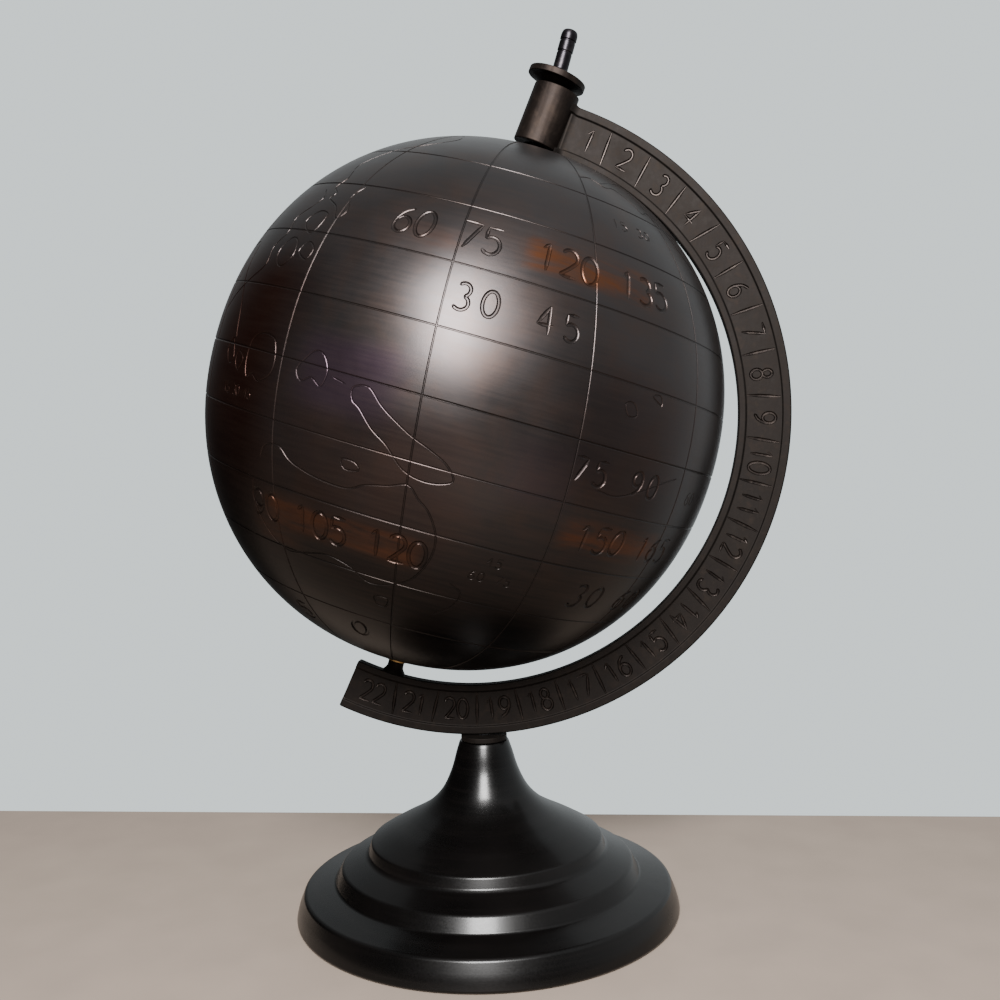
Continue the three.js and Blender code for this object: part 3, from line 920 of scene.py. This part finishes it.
def clean_arc_normals(mesh):
    """Flat and round faces take their true normals; grooves stay faceted and take their paint."""
    surface = Surface(mesh, 50)
    depth = np.abs(surface.spots[:, 1])
    at, flat = surface.spots[surface.corner], surface.flat
    side, reach = depth[surface.corner], np.hypot(at[:, 0], at[:, 2])
    radial = np.stack((at[:, 0] / reach, 0 * reach, at[:, 2] / reach), -1)
    level = np.minimum(abs(side - ARC_HALF), abs(side - BAND_FLOOR)) < 0.01
    level &= np.abs(flat[:, 1]) > 0.7
    surface.normals[level] = np.stack((0 * reach, np.sign(flat[:, 1]), 0 * reach), -1)[level]
    facing = (flat * radial).sum(1)
    for size, sign in ((ARC_OUTER_R, 1), (ARC_INNER_R, -1)):
        around = (np.abs(reach - size) < 0.02) & (facing * sign > 0.7)
        surface.normals[around] = sign * radial[around]
    surface.settle(surface.least(depth) < BAND_FLOOR - 0.01)


def arc_section():
    """The bar's section as radius and side, with how much each corner is eased."""
    face = [(ARC_INNER_R, ARC_HALF, 0.7), (BAND_INNER_R - 0.25, ARC_HALF, 0.35),
            (BAND_INNER_R + 0.25, BAND_FLOOR, 0.3), (BAND_OUTER_R - 0.2, BAND_FLOOR, 0.3),
            (BAND_OUTER_R + 0.2, ARC_HALF, 0.3), (ARC_OUTER_R, ARC_HALF, 0.7)]
    return rounded([(r, -y, ease) for r, y, ease in face] + face[::-1], 0.3, 3)


# The weld that flares the bar into the collar: degrees past the bar's start, and how many times as
# thick it is there.
WELD = ((1.1, 1.9), (0.8, 1.76), (0.5, 1.54), (0.25, 1.35), (0.0, 1.2), (-0.3, 1.09), (-0.6, 1.02))
WELD_END = 0.9  # degrees below the bar's start
END_EASE = 0.35  # degrees over which the bar's free end thins


def make_arc():
    section = arc_section()
    count, steps = len(section), 220
    first, last = ARC_START - WELD_END, ARC_END + END_EASE
    stops = [(ARC_START + rise, thick) for rise, thick in WELD]
    stops += [(first + (last - first) * i / steps, 1.0) for i in range(steps + 1)]
    stops += [(ARC_END + END_EASE * 0.3, 0.975), (ARC_END, 0.92)]
    corners, faces = [], []
    for angle, thick in stops:
        tall = 1 + (min(thick, 1.2) - 1) * 0.35
        for r, y in section:
            wide = ARC_MIDDLE_R + (r - ARC_MIDDLE_R) * tall
            corners.append(tuple(arc_point(angle, wide, y * thick)))
    for i in range(len(stops) - 1):
        for j in range(count):
            n = (j + 1) % count
            a, b = i * count, (i + 1) * count
            faces.append((a + j, a + n, b + n, b + j))
    faces.append(tuple(reversed(range(count))))
    faces.append(tuple((len(stops) - 1) * count + j for j in range(count)))
    arc = new_object("meridian_arc_engraved", corners, faces, place(ARC_CENTRE))
    engrave(arc, place(ARC_CENTRE), arc_cutters(), "EXACT")
    coat(arc, "arc_bronze", "arc_groove")
    clean_arc_normals(arc.data)
    belongs(arc, "stand", "arc_bronze", "meridian_arc")


# ---- Collar, cap and pin ----------------------------------------------------------------------

def make_top():
    collar = turned("top_collar_turned", rounded([
        (COLLAR_BORE_R, -COLLAR_HALF), (COLLAR_R, -COLLAR_HALF), (COLLAR_R, COLLAR_HALF),
        (COLLAR_BORE_R, COLLAR_HALF)], 0.5), COLLAR_FRAME)
    finished(collar, "collar_bronze", "stand", "top_collar")

    cap = turned("collar_cap_turned", rounded([
        (CAP_HOLE_R, 0, 0.2), (5.4, 0, 0.4), (9.8, 1.7, 1.0), (CAP_R - 0.1, 1.9, 0.2),
        (CAP_R, 2.05, 0.1), (CAP_R, 4.1, 0.15), (CAP_R - 0.2, 4.3, 0.2), (5.8, 4.6, 0.8),
        (5.0, 5.4, 0.35), (CAP_HOLE_R, 5.4, 0.2)], 0.3), CAP_FRAME)
    finished(cap, "collar_bronze", "stand", "collar_cap")

    s, t = PIN_SHOULDER, PIN_TOP
    pin = turned("pivot_pin_turned", rounded([
        (0, PIN_FOOT), (PIN_R - 0.8, PIN_FOOT, 0.3), (PIN_R, PIN_FOOT + 0.8, 0.3), (PIN_R, s, 0),
        (3.45, s, 0.1), (3.45, s + 0.35, 0.15), (3.0, s + 0.8, 0.2), (3.0, s + 7.2, 0.1),
        (2.8, s + 7.4, 0.1), (2.8, s + 7.8, 0.1), (3.12, s + 8, 0.1), (3.12, s + 11.6, 0.1),
        (2.9, s + 11.8, 0.1), (2.9, s + 12.2, 0.1), (3.25, s + 12.4, 0.15), (3.25, t - 1.9, 0.8),
        (2.7, t - 0.5, 0.6), (1.4, t, 0.4), (0, t)], 0.2), AXIS_FRAME, 64)
    finished(pin, "pin_black", "pin", "pivot_pin")


def make_pivots():
    seat = POLE + 0.3
    for name, node, turn, rise, bore, paint in (
            ("north_pole_bush_turned", "north_pole_bush", AXIS_FRAME, 1.7, 2.7, "collar_bronze"),
            ("south_pole_bush_turned", "south_pole_bush", SOUTH_FRAME, 0.9, 2.4, "brass")):
        bush = turned(name, rounded([
            (bore, POLE - 8.5), (5.0, POLE - 8.5), (5.0, seat), (6.0, seat), (6.0, seat + rise * 0.6),
            (5.4, seat + rise), (bore, seat + rise)], 0.25), turn, 64)
        finished(bush, paint, "ball", node)
    root = POLE + 7.6
    boss = turned("south_pivot_pin_turned", rounded([
        (0, POLE - 8), (1.6, POLE - 8, 0.3), (2, POLE - 7.6, 0.3), (2, POLE + 2.9, 0),
        (3.2, POLE + 2.9, 0.3), (3.2, root - 1.8, 1.2), (4.6, root, 0), (0, root)],
        0.3), SOUTH_FRAME, 64)
    finished(boss, "arc_bronze", "stand", "south_pivot_pin")


# ---- The foot ---------------------------------------------------------------------------------

def make_foot():
    low = FOOT_FLOOR
    tiers = [
        (75.9, low, 0.3), (76.5, low + 0.8, 0.5), (75.6, 5, 3), (73.4, 10.4, 0.5), (72.4, 11.1, 0.5),
        (61.4, 13.9, 0.4), (60.8, 14.4, 0.3), (60.5, 15, 0.4), (58.3, 19.1, 0.5), (57.6, 19.7, 0.5),
        (48.9, 23.6, 0.4), (48.3, 24.0, 0.3), (47.6, 24.7, 0.4), (46.3, 28.5, 0.5), (45.2, 29.2, 0.5),
    ]
    trumpet = smooth_path([(45.2, 29.2, 0), (37.5, 33.6, 0), (30, 37.5, 0), (23, 41.9, 0),
                           (17.3, 47.9, 0), (13.5, 55.6, 0), (11.2, 63.2, 0),
                           (NECK_R, NECK_TOP - 0.5, 0)], 1.2)
    hollow = [
        (ROD_BORE_R, 40, 0), (13, 40), (30, 33.6, 2), (42, 27.2), (43.5, 22), (54.5, 17),
        (56.5, 11.6), (67, 9), (67.5, 4.3), (70.8, 4.3), (71, low),
    ]
    outline = tiers + [(p.x, p.y, 0) for p in trumpet[1:]]
    outline += [(NECK_R - 0.35, NECK_TOP, 0), (ROD_BORE_R, NECK_TOP, 0)] + hollow
    foot = turned("foot_casting_smooth", rounded(outline, 0.6, 3), UPRIGHT, 160)
    finished(foot, "foot_black", "stand", "foot_casting", 50)

    top = ARC_CENTRE.z - ARC_OUTER_R - 0.1
    disc = turned("arc_seat_disc_turned", rounded([
        (2.8, NECK_TOP + 0.3), (9.2, NECK_TOP + 0.3), (9.2, top), (2.8, top)], 0.35), UPRIGHT)
    finished(disc, "arc_bronze", "stand", "arc_seat_disc")


# ---- Carried-over pieces, floor and light -------------------------------------------------------

def paint_kept_nodes():
    kept = {
        "equator_joining_band": "band_dark", "south_thrust_washer": "brass",
        "tie_washer": "inner_steel", "spring_washer": "inner_steel", "tie_nut": "inner_steel",
        "tie_rod": "inner_steel", "base_board": "hardboard", "felt_pad": "felt",
    }
    for node, paint in kept.items():
        for held in frame["nodes"][node].material_slots:
            held.material = PAINTS[paint]


def make_stage():
    left, right, front, back, deep = -1400, 340, -900, 112, 24
    corners = [(x, y, z) for z in (0, -deep) for x, y in (
        (left, front), (right, front), (right, back), (left, back))]
    faces = [(0, 1, 2, 3), (7, 6, 5, 4), (0, 4, 5, 1), (1, 5, 6, 2), (2, 6, 7, 3), (3, 7, 4, 0)]
    floor = new_object("floor", corners, faces, UPRIGHT)
    p = Paint("floor_pale", metallic=0.0)
    grain = p.noise(30, 3, 0.5)
    colour = p.mix(p.span(grain, 0.3, 0.7), (0.190, 0.151, 0.122), (0.210, 0.167, 0.135))
    floor.data.materials.append(p.finish(colour, 0.75))


def make_world():
    """A pale backdrop for the camera, and a dim room, bright to one side, for everything else."""
    world = bpy.data.worlds.new("studio")
    world.use_nodes = True
    tree = world.node_tree
    room = tree.nodes["Background"]
    backdrop = tree.nodes.new("ShaderNodeBackground")
    backdrop.inputs["Color"].default_value = (0.63, 0.69, 0.70, 1)
    backdrop.inputs["Strength"].default_value = 1.5
    toward = tree.nodes.new("ShaderNodeVectorMath")
    toward.operation = "DOT_PRODUCT"
    toward.inputs[1].default_value = (0.55, 0.5, 0.5)
    tree.links.new(tree.nodes.new("ShaderNodeTexCoord").outputs["Generated"], toward.inputs[0])
    depth = tree.nodes.new("ShaderNodeMapRange")
    depth.interpolation_type = "SMOOTHSTEP"
    for key, number in (("From Min", -0.1), ("From Max", 0.75), ("To Min", 0.015), ("To Max", 0.72)):
        depth.inputs[key].default_value = number
    tree.links.new(toward.outputs["Value"], depth.inputs["Value"])
    room.inputs["Color"].default_value = (0.92, 0.98, 1.0, 1)
    tree.links.new(depth.outputs["Result"], room.inputs["Strength"])
    choose = tree.nodes.new("ShaderNodeMixShader")
    tree.links.new(tree.nodes.new("ShaderNodeLightPath").outputs["Is Camera Ray"],
                   choose.inputs["Fac"])
    tree.links.new(room.outputs["Background"], choose.inputs[1])
    tree.links.new(backdrop.outputs["Background"], choose.inputs[2])
    tree.links.new(choose.outputs["Shader"], tree.nodes["World Output"].inputs["Surface"])
    bpy.context.scene.world = world


def lamp(name, spot, aim, size, power, colour):
    data = bpy.data.lights.new(name, "AREA")
    data.shape = "RECTANGLE"
    data.size, data.size_y = size
    data.energy = power
    data.color = colour
    thing = bpy.data.objects.new(name, data)
    thing.location = Vector(spot) * MM
    thing.rotation_euler = (Vector(aim) - Vector(spot)).to_track_quat("-Z", "Y").to_euler()
    bpy.context.scene.collection.objects.link(thing)


make_camera()
make_ball()
make_arc()
make_top()
make_pivots()
make_foot()
paint_kept_nodes()
make_stage()
make_world()
lamp("key", spot=(30, -840, 665), aim=(0, 0, 190), size=(0.32, 0.50), power=45,
     colour=(1, 0.99, 0.98))
